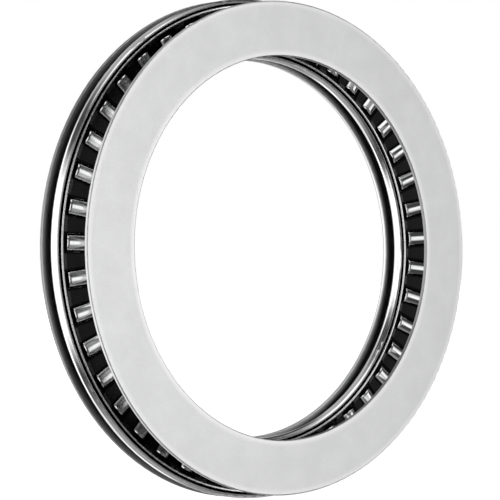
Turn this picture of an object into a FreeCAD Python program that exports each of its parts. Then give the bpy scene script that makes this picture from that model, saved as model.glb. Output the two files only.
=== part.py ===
"""Thrust needle roller bearing: two flat washers with a caged ring of rollers between them.

The shaft axis is +Y and the ring stands upright, with +Z up. The origin is on the shaft
axis, halfway through the housing washer. The other pieces follow towards -Y: the cage with
its rollers, then the shaft washer. The pieces stand spread along the axis, as laid out for
assembly, so the rollers show between the cage and the shaft washer. All sizes are in mm.
"""
import FreeCAD
import Part
import math
import os

# Driving dimensions: washers
WASHER_THICKNESS = 1.0
WASHER_EDGE = 0.25
SHAFT_WASHER_BORE = 85.0
SHAFT_WASHER_OD = 109.2
HOUSING_WASHER_BORE = 85.4
HOUSING_WASHER_OD = 112.2

# Driving dimensions: rollers
ROLLER_COUNT = 43
ROLLER_DIAMETER = 4.0
ROLLER_LENGTH = 7.4
ROLLER_END_ROUND = 0.5
ROLLER_PITCH_RADIUS = 49.5
FIRST_ROLLER_ANGLE = 2.9

# Driving dimensions: cage, two nested shells pressed from sheet
CAGE_OUTER_RADIUS = 56.05
CAGE_INNER_RADIUS = 42.7
CAGE_HEIGHT = 3.6
REAR_SHEET = 0.5
FRONT_SHEET = 0.45
NEST_GAP = 0.05
RIM_ARC = 1.55
RIM_ARC_HEIGHT = 0.25
RIM_BACK_ANGLE = -40
RIM_END_ANGLE = 62
LIP_OFFSET = 0.15
LAND_WIDTH = 1.2
WEB_RECESS = 0.6
WINDOW_DIP = 0.25
WINDOW_END_GAP = 0.1
WINDOW_WIDTH = 4.65
POCKET_END_PLAY = 0.1
POCKET_SIDE_PLAY = 0.08
POCKET_CORNER = 0.3
REAR_FILLET = 0.25
RIM_END_FILLET = 0.2
LIP_FILLET = 0.15

# Driving dimensions: how far the pieces are spread along the axis
REAR_GAP = 1.25
FRONT_GAP = 7.9

# How far the blocks that cut the pockets reach past the faces they cut
CUT_MARGIN = 0.5

# Derived axial positions. "height" is measured from the rollers' axes towards -Y, the front.
ROLLER_RADIUS = ROLLER_DIAMETER / 2
HOUSING_WASHER_FRONT = -WASHER_THICKNESS / 2
ROLLER_AXIS_Y = HOUSING_WASHER_FRONT - REAR_GAP - ROLLER_RADIUS
SHAFT_WASHER_BACK = ROLLER_AXIS_Y - ROLLER_RADIUS - FRONT_GAP
CAGE_TOP = CAGE_HEIGHT / 2
REAR_WEB_TOP = -CAGE_TOP + REAR_SHEET
WEB_TOP = CAGE_TOP - WEB_RECESS
WEB_BOTTOM = WEB_TOP - FRONT_SHEET

# Derived radii: the rounded rims' arc centres, and the front shell that nests between the rims
OUTER_RIM_CENTRE = CAGE_OUTER_RADIUS - RIM_ARC
INNER_RIM_CENTRE = CAGE_INNER_RADIUS + RIM_ARC
FRONT_OUTER_RADIUS = OUTER_RIM_CENTRE + LIP_OFFSET
FRONT_INNER_RADIUS = INNER_RIM_CENTRE - LIP_OFFSET
WEB_OUTER_RADIUS = FRONT_OUTER_RADIUS - LAND_WIDTH
WEB_INNER_RADIUS = FRONT_INNER_RADIUS + LAND_WIDTH

# The two rims of the cage: arc centre's radius, and +1 for bulging outwards or -1 for inwards
OUTER_RIM = (OUTER_RIM_CENTRE, 1)
INNER_RIM = (INNER_RIM_CENTRE, -1)

ORIGIN = FreeCAD.Vector(0, 0, 0)
AXIS = FreeCAD.Vector(0, 1, 0)
OUT = "parts"


def revolve(points):
    """Solid of revolution about the shaft axis, from (radius, y) corner points."""
    corners = [FreeCAD.Vector(radius, y, 0) for radius, y in points]
    outline = Part.makePolygon(corners + corners[:1])
    return Part.Face(outline).revolve(ORIGIN, AXIS, 360)


def at_height(point):
    """Vector of a (radius, height) point, with height counted from the rollers' axes."""
    radius, height = point
    return FreeCAD.Vector(radius, ROLLER_AXIS_Y - height, 0)


def revolve_heights(points):
    """Solid of revolution from (radius, height) corner points."""
    return revolve([(radius, ROLLER_AXIS_Y - height) for radius, height in points])


def ring_edges(solid, circles):
    """The round edges of a solid that lie on the given (radius, height) circles."""
    found = []
    for edge in solid.Edges:
        if not isinstance(edge.Curve, Part.Circle):
            continue
        for radius, height in circles:
            same_radius = abs(edge.Curve.Radius - radius) < 1e-4
            same_height = abs(edge.Curve.Center.y - (ROLLER_AXIS_Y - height)) < 1e-4
            if same_radius and same_height:
                found.append(edge)
    return found


def roller_angle(index):
    """Angle of a roller about the shaft axis, from +X towards +Z, in degrees."""
    return FIRST_ROLLER_ANGLE + index * 360 / ROLLER_COUNT


def around(shape):
    """One copy of a shape, modelled on +X, at every roller's angle."""
    copies = []
    for index in range(ROLLER_COUNT):
        copy = shape.copy()
        copy.rotate(ORIGIN, AXIS, -roller_angle(index))
        copies.append(copy)
    return Part.makeCompound(copies)


def washer(bore, outer_diameter, front_y):
    """Flat washer with its four edges rounded, from front_y back towards +Y."""
    back_y = front_y + WASHER_THICKNESS
    disc = revolve([
        (bore / 2, front_y),
        (outer_diameter / 2, front_y),
        (outer_diameter / 2, back_y),
        (bore / 2, back_y),
    ])
    rims = [edge for edge in disc.Edges if isinstance(edge.Curve, Part.Circle)]
    return disc.makeFillet(WASHER_EDGE, rims)


def housing_washer():
    """Washer that rests against the housing; its outside centres it in the housing bore."""
    return washer(HOUSING_WASHER_BORE, HOUSING_WASHER_OD, HOUSING_WASHER_FRONT)


def shaft_washer():
    """Washer that turns with the shaft; its bore centres it on the shaft."""
    return washer(SHAFT_WASHER_BORE, SHAFT_WASHER_OD, SHAFT_WASHER_BACK - WASHER_THICKNESS)


def pocket_half_width(height):
    """Half width of a straight-sided pocket that clears a roller at this distance from its axis."""
    return math.sqrt(ROLLER_RADIUS ** 2 - height ** 2) + POCKET_SIDE_PLAY


def slot(inner_radius, outer_radius, half_width, low, high, corner):
    """Block on +X that cuts a pocket between two radii and two heights."""
    length = outer_radius - inner_radius
    start = FreeCAD.Vector(inner_radius, ROLLER_AXIS_Y - high, -half_width)
    block = Part.makeBox(length, high - low, 2 * half_width, start)
    uprights = []
    for edge in block.Edges:
        direction = edge.tangentAt(edge.FirstParameter)
        if abs(direction.y) > 0.99:
            uprights.append(edge)
    return block.makeFillet(corner, uprights)


def roller_pocket(half_width, low, high):
    """Pocket that guides a roller at its two ends and two sides."""
    half_length = ROLLER_LENGTH / 2 + POCKET_END_PLAY
    inner = ROLLER_PITCH_RADIUS - half_length
    outer = ROLLER_PITCH_RADIUS + half_length
    return slot(inner, outer, half_width, low, high, POCKET_CORNER)


def rim_point(rim, arc_radius, angle):
    """(radius, height) point on a rim's arc; angle 0 is its widest place and 90 faces the front."""
    centre, side = rim
    turn = math.radians(angle)
    return (centre + side * arc_radius * math.cos(turn), RIM_ARC_HEIGHT + arc_radius * math.sin(turn))


def rim_back_point(rim, arc_radius, height):
    """(radius, height) point where the flat flank behind a rim's arc reaches a height."""
    centre, side = rim
    turn = math.radians(RIM_BACK_ANGLE)
    reach = (arc_radius - (height - RIM_ARC_HEIGHT) * math.sin(turn)) / math.cos(turn)
    return (centre + side * reach, height)


def rim_flank_height(arc_radius, reach):
    """Height where the flat flank behind a rim's arc is this far from the arc's centre radius."""
    turn = math.radians(RIM_BACK_ANGLE)
    return RIM_ARC_HEIGHT + (arc_radius - reach * math.cos(turn)) / math.sin(turn)


def rim_arc(rim, arc_radius, start_angle, end_angle):
    """Edge along a rim's arc between two angles."""
    middle_angle = (start_angle + end_angle) / 2
    places = [rim_point(rim, arc_radius, angle) for angle in (start_angle, middle_angle, end_angle)]
    return Part.Arc(*[at_height(place) for place in places]).toShape()


def straight(first, second):
    """Straight edge between two (radius, height) points."""
    return Part.LineSegment(at_height(first), at_height(second)).toShape()


def rim_edges(rim):
    """Outline of one rounded rim of the rear shell, from its back corner round to its inside."""
    inner_arc = RIM_ARC - REAR_SHEET
    back = rim_back_point(rim, RIM_ARC, -CAGE_TOP)
    inside = rim_back_point(rim, inner_arc, REAR_WEB_TOP)
    return [
        straight(back, rim_point(rim, RIM_ARC, RIM_BACK_ANGLE)),
        rim_arc(rim, RIM_ARC, RIM_BACK_ANGLE, RIM_END_ANGLE),
        straight(rim_point(rim, RIM_ARC, RIM_END_ANGLE), rim_point(rim, inner_arc, RIM_END_ANGLE)),
        rim_arc(rim, inner_arc, RIM_END_ANGLE, RIM_BACK_ANGLE),
        straight(rim_point(rim, inner_arc, RIM_BACK_ANGLE), inside),
    ]


def cage_rear_shell():
    """Rear shell: a flat ring whose outer and inner rims bulge and close in on the front shell."""
    outer_back = rim_back_point(OUTER_RIM, RIM_ARC, -CAGE_TOP)
    inner_back = rim_back_point(INNER_RIM, RIM_ARC, -CAGE_TOP)
    outer_inside = rim_back_point(OUTER_RIM, RIM_ARC - REAR_SHEET, REAR_WEB_TOP)
    inner_inside = rim_back_point(INNER_RIM, RIM_ARC - REAR_SHEET, REAR_WEB_TOP)
    outline = [straight(inner_back, outer_back), straight(outer_inside, inner_inside)]
    outline += rim_edges(OUTER_RIM)
    outline += rim_edges(INNER_RIM)
    wire = Part.Wire(Part.__sortEdges__(outline))
    shell = Part.Face(wire).revolve(ORIGIN, AXIS, 360)
    shell = shell.makeFillet(REAR_FILLET, ring_edges(shell, [outer_back, inner_back]))
    ends = [rim_point(rim, RIM_ARC, RIM_END_ANGLE) for rim in (OUTER_RIM, INNER_RIM)]
    shell = shell.makeFillet(RIM_END_FILLET, ring_edges(shell, ends))
    half_width = pocket_half_width(REAR_WEB_TOP)
    pocket = roller_pocket(half_width, -CAGE_TOP - CUT_MARGIN, REAR_WEB_TOP + CUT_MARGIN)
    return shell.cut(around(pocket))


def wall_foot(rim, wall_inside):
    """Foot of a front wall, set in the corner of the rear shell: three (radius, height) points."""
    centre, side = rim
    inner_arc = RIM_ARC - REAR_SHEET - NEST_GAP
    foot_height = REAR_WEB_TOP + NEST_GAP
    return [
        (centre + side * LIP_OFFSET, rim_flank_height(inner_arc, LIP_OFFSET)),
        rim_back_point(rim, inner_arc, foot_height),
        (wall_inside, foot_height),
    ]


def cage_front_shell():
    """Front shell: two walls and two narrow lands around a recessed web with the pockets."""
    outer_wall = FRONT_OUTER_RADIUS - FRONT_SHEET
    inner_wall = FRONT_INNER_RADIUS + FRONT_SHEET
    shell = revolve_heights([
        *reversed(wall_foot(OUTER_RIM, outer_wall)),
        (FRONT_OUTER_RADIUS, CAGE_TOP),
        (WEB_OUTER_RADIUS, CAGE_TOP),
        (WEB_OUTER_RADIUS, WEB_TOP),
        (WEB_INNER_RADIUS, WEB_TOP),
        (WEB_INNER_RADIUS, CAGE_TOP),
        (FRONT_INNER_RADIUS, CAGE_TOP),
        *wall_foot(INNER_RIM, inner_wall),
        (inner_wall, WEB_BOTTOM),
        (outer_wall, WEB_BOTTOM),
    ])
    bends = [(FRONT_OUTER_RADIUS, CAGE_TOP), (FRONT_INNER_RADIUS, CAGE_TOP)]
    shell = shell.makeFillet(LIP_FILLET, ring_edges(shell, bends))
    half_width = pocket_half_width(WEB_BOTTOM)
    pocket = roller_pocket(half_width, WEB_BOTTOM - CUT_MARGIN, WEB_TOP + CUT_MARGIN)
    window_inner = inner_wall + WINDOW_END_GAP
    window_outer = outer_wall - WINDOW_END_GAP
    floor = WEB_TOP - WINDOW_DIP
    roof = CAGE_TOP + CUT_MARGIN
    window = slot(window_inner, window_outer, WINDOW_WIDTH / 2, floor, roof, POCKET_CORNER)
    return shell.cut(around(pocket)).cut(around(window))


def roller(index):
    """Cylindrical roller with rounded ends, its axis along the ring's radius."""
    start = ROLLER_PITCH_RADIUS - ROLLER_LENGTH / 2
    base = FreeCAD.Vector(start, ROLLER_AXIS_Y, 0)
    body = Part.makeCylinder(ROLLER_RADIUS, ROLLER_LENGTH, base, FreeCAD.Vector(1, 0, 0))
    rims = [edge for edge in body.Edges if isinstance(edge.Curve, Part.Circle)]
    body = body.makeFillet(ROLLER_END_ROUND, rims)
    body.rotate(ORIGIN, AXIS, -roller_angle(index))
    return body


def build():
    """Every piece of the bearing, by node name."""
    pieces = {
        "housing_washer": housing_washer(),
        "cage_rear_shell": cage_rear_shell(),
        "cage_front_shell": cage_front_shell(),
        "shaft_washer": shaft_washer(),
    }
    for index in range(ROLLER_COUNT):
        pieces[f"roller_{index + 1:02d}"] = roller(index)
    return pieces


os.makedirs(OUT, exist_ok=True)
for name, shape in build().items():
    shape.exportStep(f"{OUT}/{name}.step")
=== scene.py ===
"""Looks of the thrust needle roller bearing: steel materials, studio and camera. Metres."""

import math

import bpy
from mathutils import Matrix, Vector


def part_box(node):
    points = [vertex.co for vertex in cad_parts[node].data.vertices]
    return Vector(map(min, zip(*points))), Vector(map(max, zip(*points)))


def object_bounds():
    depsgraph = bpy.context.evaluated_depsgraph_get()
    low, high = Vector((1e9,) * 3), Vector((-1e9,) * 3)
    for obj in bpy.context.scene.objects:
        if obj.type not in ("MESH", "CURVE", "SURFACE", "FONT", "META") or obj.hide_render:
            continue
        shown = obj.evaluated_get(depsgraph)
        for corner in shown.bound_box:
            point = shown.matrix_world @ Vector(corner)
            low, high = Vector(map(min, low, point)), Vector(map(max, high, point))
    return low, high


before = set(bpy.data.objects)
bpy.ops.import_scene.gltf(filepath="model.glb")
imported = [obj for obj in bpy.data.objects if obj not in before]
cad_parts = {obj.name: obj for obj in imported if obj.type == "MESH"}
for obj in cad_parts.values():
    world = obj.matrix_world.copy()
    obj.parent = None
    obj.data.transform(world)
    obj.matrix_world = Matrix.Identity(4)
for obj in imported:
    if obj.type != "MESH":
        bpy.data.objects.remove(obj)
cad_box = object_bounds()

# Camera: its place around the shaft axis, distance and lens
CAMERA_AZIMUTH = -39.7
CAMERA_ELEVATION = -0.6
CAMERA_ROLL = -0.5
CAMERA_DISTANCE = 0.4458
CAMERA_LENS = 141.4
SENSOR_WIDTH = 36.0
CLIP_START = 0.01
CLIP_END = 50.0
CAMERA_AIM = Vector((0.0004, -0.0003, -0.0003))

# Studio: soft panels in the dark, each with its azimuths, elevations, fades and strength.
# Angles are in degrees; azimuth 0 is in front of the shaft washer and 90 is along +X.
PANELS = {
    "left": ((-165, -52), (-25, 20), (10, 20), 1.35),
    "front_right": ((12, 36), (-14, 13), (26, 12), 1.56),
    "front_top": ((-45, 40), (54, 76), (15, 8), 1.05),
    "back_right": ((118, 165), (-12, 10), (12, 12), 1.5),
    "back_right_low": ((118, 165), (-50, -24), (12, 12), 0.35),
    "back_top_left": ((-200, -145), (28, 56), (12, 12), 0.45),
    "back_top_right": ((158, 200), (28, 56), (12, 12), 0.45),
    "back_low_left": ((-200, -147), (-56, -28), (12, 10), 0.9),
    "back_low_right": ((160, 200), (-56, -28), (12, 10), 0.9),
}
DARK_LEVEL = 0.065
ZENITH_LEVEL = 0.45
ZENITH_RAMP = (50, 75)
GROUND_LEVEL = 0.33
GROUND_RAMP = (-75, -45)
FLOOR_SIZE = 8.0
FLOOR_TONE = 0.9
FLOOR_GLOW = 0.8
WHITE = (1.0, 1.0, 1.0, 1.0)

# Noise: how many cells fit in a metre, from broad clouds to fine grinding grain
CLOUD_SCALE = 160.0
GRAIN_SCALE = 2600.0
STREAK_SCALE = 900.0
WEAR_SCALE = 700.0
MARK_SCALE = 1400.0
GRAIN_HEIGHT = 0.000012

# Places and widths on the bearing, from the frame and the part's own sizes
FRONT_SHELL_LOW, FRONT_SHELL_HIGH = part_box("cage_front_shell")
LIP_OUTER = FRONT_SHELL_HIGH.x
LIP_INNER = 0.0441
LIP_WIDTH = 0.00038
LIP_DEPTH = 0.0002
WEB_RECESS = 0.0006
# Depth of the painted shade at the rear shell's rim ends
RIM_END_DEPTH = 0.00024
CAGE_FRONT_Y = FRONT_SHELL_LOW.y
SHAFT_WASHER_BORE = 0.0425
HOUSING_WASHER_BORE = 0.0427
WASHER_EDGE = 0.00025
SOFT_EDGE = 0.00008
# Tone of the painted shade on the rounded edges of rim and bore
EDGE_SHADE_TONE = 0.35
# Width of the painted sheen along the rim and bore, and its share on the raceway side
SHEEN_WIDTH = 0.0016
RACE_SHEEN = 0.35
# Tones of a washer's outer rim, bore and raceway; the housing washer's dark raceway tone is painted shade
# of the gap behind the cage
HOUSING_TONES = (0.3, 0.85, 0.1)
SHAFT_TONES = (0.7, 0.3, 0.9)
# Where the shaft washer's raceway is smoothed by the rollers, and by how much
TRACK_START = 0.0446
TRACK_POLISH = 0.24


def view_direction(azimuth, elevation):
    """Unit vector from the bearing towards a viewer at this azimuth and elevation."""
    turn = math.radians(azimuth)
    rise = math.radians(elevation)
    return Vector((math.sin(turn) * math.cos(rise), -math.cos(turn) * math.cos(rise), math.sin(rise)))


# ---------------------------------------------------------------- node helpers

class Graph:
    """Small helper that adds and joins shader nodes."""

    def __init__(self, tree):
        self.tree = tree
        self.tree.nodes.clear()

    def add(self, kind, **settings):
        node = self.tree.nodes.new(kind)
        for name, value in settings.items():
            setattr(node, name, value)
        return node

    def join(self, output, socket):
        self.tree.links.new(output, socket)

    def math(self, operation, first, second=None):
        node = self.add("ShaderNodeMath", operation=operation)
        for socket, value in zip(node.inputs, (first, second)):
            self.feed(socket, value)
        return node.outputs[0]

    def feed(self, socket, value):
        """Sets a socket to a number, or joins an output to it."""
        if value is None:
            return
        if isinstance(value, (int, float)):
            socket.default_value = value
        else:
            self.join(value, socket)

    def noise(self, position, scale, detail=3.0, roughness=0.5):
        node = self.add("ShaderNodeTexNoise")
        node.inputs["Scale"].default_value = scale
        node.inputs["Detail"].default_value = detail
        node.inputs["Roughness"].default_value = roughness
        self.join(position, node.inputs["Vector"])
        return node.outputs["Fac"]

    def remap(self, value, low, high, to_low, to_high, smooth=False):
        node = self.add("ShaderNodeMapRange", clamp=True)
        if smooth:
            node.interpolation_type = "SMOOTHSTEP"
        ends = {"From Min": low, "From Max": high, "To Min": to_low, "To Max": to_high}
        for name, number in ends.items():
            node.inputs[name].default_value = number
        self.join(value, node.inputs["Value"])
        return node.outputs["Result"]

    def blend(self, factor, first, second):
        """Colour between two, each a tuple or an output."""
        node = self.add("ShaderNodeMix", data_type="RGBA")
        self.feed(node.inputs["Factor"], factor)
        for socket, value in ((node.inputs["A"], first), (node.inputs["B"], second)):
            if isinstance(value, tuple):
                socket.default_value = value
            else:
                self.join(value, socket)
        return node.outputs["Result"]

    def bump(self, height, distance, strength):
        node = self.add("ShaderNodeBump")
        node.inputs["Distance"].default_value = distance
        node.inputs["Strength"].default_value = strength
        self.join(height, node.inputs["Height"])
        return node.outputs["Normal"]


def grey(value, tint=0.0):
    """Near-neutral steel colour; tint above 0 is cooler."""
    return (value * (1 - tint), value, value * (1 + tint), 1.0)


def steel(name):
    """A metal material with its graph, shader and surface position, ready for its own details."""
    material = bpy.data.materials.new(name)
    material.use_nodes = True
    graph = Graph(material.node_tree)
    output = graph.add("ShaderNodeOutputMaterial")
    shader = graph.add("ShaderNodeBsdfPrincipled")
    shader.inputs["Metallic"].default_value = 1.0
    graph.join(shader.outputs["BSDF"], output.inputs["Surface"])
    position = graph.add("ShaderNodeTexCoord").outputs["Object"]
    return material, graph, shader, position


def radius_and_axial(graph, position):
    """A surface point's distance from the shaft axis, and its place along the axis."""
    axes = graph.add("ShaderNodeSeparateXYZ")
    graph.join(position, axes.inputs[0])
    across = graph.math("MULTIPLY", axes.outputs["X"], axes.outputs["X"])
    up = graph.math("MULTIPLY", axes.outputs["Z"], axes.outputs["Z"])
    return graph.math("SQRT", graph.math("ADD", across, up)), axes.outputs["Y"]


# ---------------------------------------------------------------- materials

def washer_steel(name, node_name, bore, tones, track_start, polish):
    """Washer: fine-ground satin steel with faint mottling, with a painted sheen brighter along its edges.

    Its outer rim, its bore and its raceway, the side that faces the rollers, have tones of
    their own, given in that order. The raceway's tone begins at track_start from the shaft
    axis, and polish is how much smoother than the rest it is there.
    """
    material, graph, shader, position = steel(name)
    low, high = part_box(node_name)
    rim_tone, bore_tone, raceway_tone_and_shade = tones
    radius, along = radius_and_axial(graph, position)
    cloud = graph.noise(position, CLOUD_SCALE, 4.0, 0.6)
    grain = graph.noise(position, GRAIN_SCALE, 3.0, 0.6)
    tone = graph.remap(cloud, 0.35, 0.65, 0.0, 1.0)
    colour = graph.blend(tone, grey(0.76, 0.003), grey(0.81, 0.003))
    speck = graph.remap(grain, 0.3, 0.7, 0.0, 0.3)
    colour = graph.blend(speck, colour, grey(0.7))

    race_y = low.y if node_name == "housing_washer" else high.y
    off_race = graph.math("ABSOLUTE", graph.math("SUBTRACT", along, race_y))
    on_race = graph.remap(off_race, SOFT_EDGE / 2, SOFT_EDGE, 1.0, 0.0)
    past_start = graph.remap(radius, track_start - SOFT_EDGE, track_start + SOFT_EDGE, 0.0, 1.0)
    on_track = graph.math("MULTIPLY", on_race, past_start)
    # Raceway tone; on the housing washer this dark tone is painted shade of the gap behind the cage
    colour = graph.blend(on_track, colour, grey(raceway_tone_and_shade))

    # Painted sheen: brighter bands along the outer rim and the bore, weaker on the raceway side
    rim_sheen = graph.remap(radius, high.x - SHEEN_WIDTH, high.x - WASHER_EDGE, 0.0, 0.7, smooth=True)
    bore_sheen = graph.remap(radius, bore + WASHER_EDGE, bore + SHEEN_WIDTH, 0.9, 0.0, smooth=True)
    rim_sheen = graph.math("MULTIPLY", rim_sheen, graph.remap(on_race, 0.0, 1.0, 1.0, RACE_SHEEN))
    colour = graph.blend(graph.math("MAXIMUM", rim_sheen, bore_sheen), colour, grey(0.95))

    on_rim = graph.remap(radius, high.x - SOFT_EDGE, high.x - SOFT_EDGE / 2, 0.0, 1.0)
    colour = graph.blend(on_rim, colour, grey(rim_tone))
    on_bore = graph.remap(radius, bore + SOFT_EDGE / 2, bore + SOFT_EDGE, 1.0, 0.0)
    colour = graph.blend(on_bore, colour, grey(bore_tone))
    # Painted shade: the rounded edges of the outer rim on both faces, and the bore's back edge, are
    # darkened
    off_middle = graph.math("SUBTRACT", along, (low.y + high.y) / 2)
    flat_end = (high.y - low.y) / 2 - WASHER_EDGE
    either_side = graph.math("ABSOLUTE", off_middle)
    both_ends = graph.remap(either_side, flat_end, flat_end + SOFT_EDGE, 0.0, 1.0)
    back_end = graph.remap(off_middle, flat_end - 2 * SOFT_EDGE, flat_end, 0.0, 1.0)
    rim_edge_shade = graph.math("MULTIPLY", on_rim, both_ends)
    bore_edge_shade = graph.math("MULTIPLY", on_bore, back_end)
    colour = graph.blend(graph.math("MAXIMUM", rim_edge_shade, bore_edge_shade), colour, grey(EDGE_SHADE_TONE))

    graph.join(colour, shader.inputs["Base Color"])
    ground = graph.remap(grain, 0.3, 0.7, 0.4, 0.5)
    smoother = graph.math("MULTIPLY", on_track, polish)
    graph.join(graph.math("SUBTRACT", ground, smoother), shader.inputs["Roughness"])
    graph.join(graph.bump(grain, GRAIN_HEIGHT, 0.5), shader.inputs["Normal"])
    return material


def rim_steel():
    """Cage rear shell: bright rolled rims with faint rolling streaks, rougher and darkened by painted
    shade at their front ends, where the shells meet.
    """
    material, graph, shader, position = steel("rolled_rim_steel")
    along = radius_and_axial(graph, position)[1]
    behind = graph.math("SUBTRACT", along, CAGE_FRONT_Y)
    streaks = graph.noise(position, STREAK_SCALE, 2.0, 0.5)
    # Painted shade: the rims' front ends are darkened where the shells meet
    end_shade = graph.remap(behind, RIM_END_DEPTH, 2 * RIM_END_DEPTH, 1.0, 0.0)
    bright = graph.blend(graph.remap(streaks, 0.3, 0.7, 0.0, 1.0), grey(0.8), grey(0.88))
    graph.join(graph.blend(end_shade, bright, grey(0.45)), shader.inputs["Base Color"])
    rolled = graph.remap(streaks, 0.3, 0.7, 0.08, 0.14)
    rougher_end = graph.math("MULTIPLY", end_shade, 0.25)
    graph.join(graph.math("ADD", rolled, rougher_end), shader.inputs["Roughness"])
    return material


def web_steel():
    """Cage front shell: bright lips, and dark blackened land, web and pockets inside them, with painted
    shade that deepens into the recess and the pocket windows.
    """
    material, graph, shader, position = steel("blackened_shaded_web_steel")
    radius, along = radius_and_axial(graph, position)
    behind = graph.math("SUBTRACT", along, CAGE_FRONT_Y)
    outer_start = LIP_OUTER - LIP_WIDTH
    inner_end = LIP_INNER + LIP_WIDTH
    at_outer = graph.remap(radius, outer_start, outer_start + SOFT_EDGE, 0.0, 1.0)
    at_inner = graph.remap(radius, inner_end - SOFT_EDGE, inner_end, 1.0, 0.0)
    near_front = graph.remap(behind, LIP_DEPTH, LIP_DEPTH + SOFT_EDGE, 1.0, 0.0)
    lip = graph.math("MULTIPLY", graph.math("MAXIMUM", at_outer, at_inner), near_front)
    recess_shade = graph.remap(behind, WEB_RECESS / 2, WEB_RECESS, 0.0, 1.0)
    window_shade = graph.remap(behind, WEB_RECESS + SOFT_EDGE, WEB_RECESS + 2 * SOFT_EDGE, 0.0, 1.0)
    wear = graph.noise(position, WEAR_SCALE, 3.0, 0.6)
    # Blackened land; painted shade deepens into the recess and is darkest in the pocket windows
    dark = graph.blend(recess_shade, grey(0.04), grey(0.01))
    dark = graph.blend(window_shade, dark, grey(0.004))
    dark = graph.blend(graph.remap(wear, 0.5, 0.8, 0.0, 0.2), dark, grey(0.03))
    graph.join(graph.blend(lip, dark, grey(0.96)), shader.inputs["Base Color"])
    graph.join(graph.remap(wear, 0.3, 0.7, 0.2, 0.3), shader.inputs["Roughness"])
    return material


def roller_steel():
    """Rollers: polished hard steel with the faintest polishing marks."""
    material, graph, shader, position = steel("polished_roller_steel")
    marks = graph.noise(position, MARK_SCALE, 3.0, 0.6)
    tone = graph.remap(marks, 0.3, 0.7, 0.0, 1.0)
    colour = graph.blend(tone, grey(0.7, 0.004), grey(0.76, 0.004))
    graph.join(colour, shader.inputs["Base Color"])
    graph.join(graph.remap(marks, 0.3, 0.7, 0.08, 0.12), shader.inputs["Roughness"])
    return material


def dress():
    """Gives every node the material of what it is; the housing washer has no polished track."""
    rollers = roller_steel()
    housing = washer_steel(
        "housing_steel", "housing_washer", HOUSING_WASHER_BORE, HOUSING_TONES, HOUSING_WASHER_BORE, 0.0
    )
    shaft = washer_steel(
        "shaft_steel", "shaft_washer", SHAFT_WASHER_BORE, SHAFT_TONES, TRACK_START, TRACK_POLISH
    )
    chosen = {
        "housing_washer": housing,
        "shaft_washer": shaft,
        "cage_rear_shell": rim_steel(),
        "cage_front_shell": web_steel(),
    }
    for name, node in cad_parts.items():
        for place in node.material_slots:
            place.material = chosen.get(name, rollers)


# ---------------------------------------------------------------- studio

def panel_light(graph, azimuth, elevation, azimuths, elevations, fades):
    """Brightness of one soft panel, 1 inside its azimuths and elevations and 0 outside."""
    sides = (
        (azimuth, azimuths[0] - fades[0], azimuths[0], 0.0, 1.0),
        (azimuth, azimuths[1], azimuths[1] + fades[0], 1.0, 0.0),
        (elevation, elevations[0] - fades[1], elevations[0], 0.0, 1.0),
        (elevation, elevations[1], elevations[1] + fades[1], 1.0, 0.0),
    )
    light = 1.0
    for angle, low, high, before, after in sides:
        edge = graph.remap(angle, math.radians(low), math.radians(high), before, after, smooth=True)
        light = graph.math("MULTIPLY", edge, light)
    return light


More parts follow.
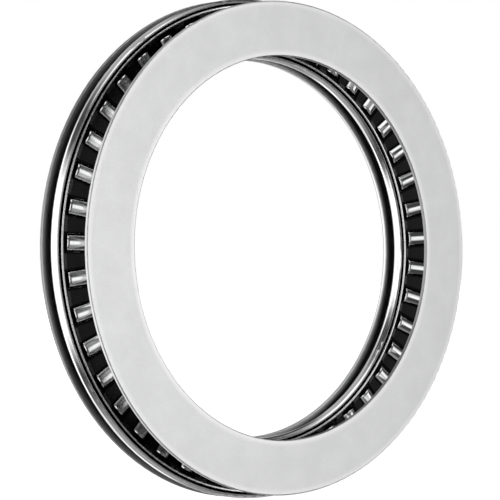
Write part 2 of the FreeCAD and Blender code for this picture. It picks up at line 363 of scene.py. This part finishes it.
def world_light():
    """Dark studio with soft panels around the bearing, and plain white where the camera looks past it."""
    world = bpy.data.worlds.new("studio")
    bpy.context.scene.world = world
    world.use_nodes = True
    graph = Graph(world.node_tree)
    output = graph.add("ShaderNodeOutputWorld")
    background = graph.add("ShaderNodeBackground")
    direction = graph.add("ShaderNodeTexCoord").outputs["Generated"]
    axes = graph.add("ShaderNodeSeparateXYZ")
    graph.join(direction, axes.inputs[0])
    forward = graph.math("MULTIPLY", axes.outputs["Y"], -1.0)
    azimuth = graph.math("ARCTAN2", axes.outputs["X"], forward)
    elevation = graph.math("ARCSINE", axes.outputs["Z"])
    top = [math.radians(angle) for angle in ZENITH_RAMP]
    bottom = [math.radians(angle) for angle in GROUND_RAMP]
    light = graph.remap(elevation, *top, DARK_LEVEL, ZENITH_LEVEL, smooth=True)
    below = graph.remap(elevation, *bottom, GROUND_LEVEL, 0.0, smooth=True)
    light = graph.math("ADD", light, below)
    for azimuths, elevations, fades, strength in PANELS.values():
        panel = panel_light(graph, azimuth, elevation, azimuths, elevations, fades)
        light = graph.math("ADD", light, graph.math("MULTIPLY", panel, strength))
    past = graph.add("ShaderNodeLightPath").outputs["Is Camera Ray"]
    kept = graph.math("MULTIPLY", light, graph.math("SUBTRACT", 1.0, past))
    background.inputs["Color"].default_value = WHITE
    graph.join(graph.math("ADD", kept, past), background.inputs["Strength"])
    graph.join(background.outputs["Background"], output.inputs["Surface"])


def floor():
    """Plain pale floor that the ring stands on, carried far back so that it has no edge in view."""
    low = cad_box[0]
    bpy.ops.mesh.primitive_plane_add(size=FLOOR_SIZE, location=(0, 0, low[2]))
    ground = bpy.context.object
    ground.name = "studio_floor"
    material = bpy.data.materials.new("studio_floor_white")
    material.use_nodes = True
    graph = Graph(material.node_tree)
    output = graph.add("ShaderNodeOutputMaterial")
    shader = graph.add("ShaderNodeBsdfPrincipled")
    shader.inputs["Base Color"].default_value = grey(FLOOR_TONE)
    shader.inputs["Roughness"].default_value = 1.0
    shader.inputs["Emission Color"].default_value = WHITE
    shader.inputs["Emission Strength"].default_value = FLOOR_GLOW
    graph.join(shader.outputs["BSDF"], output.inputs["Surface"])
    ground.data.materials.append(material)
    ground.visible_glossy = False


def camera():
    """Camera at its place around the bearing, turned a little about its own line of sight."""
    direction = view_direction(CAMERA_AZIMUTH, CAMERA_ELEVATION)
    data = bpy.data.cameras.new("camera")
    data.lens = CAMERA_LENS
    data.sensor_width = SENSOR_WIDTH
    data.clip_start = CLIP_START
    data.clip_end = CLIP_END
    holder = bpy.data.objects.new("camera", data)
    bpy.context.scene.collection.objects.link(holder)
    facing = direction.to_track_quat("Z", "Y").to_matrix().to_4x4()
    roll = Matrix.Rotation(math.radians(CAMERA_ROLL), 4, "Z")
    place = Matrix.Translation(CAMERA_AIM + direction * CAMERA_DISTANCE)
    holder.matrix_world = place @ facing @ roll
    bpy.context.scene.camera = holder


dress()
world_light()
floor()
camera()
bpy.context.scene.view_settings.view_transform = "Standard"
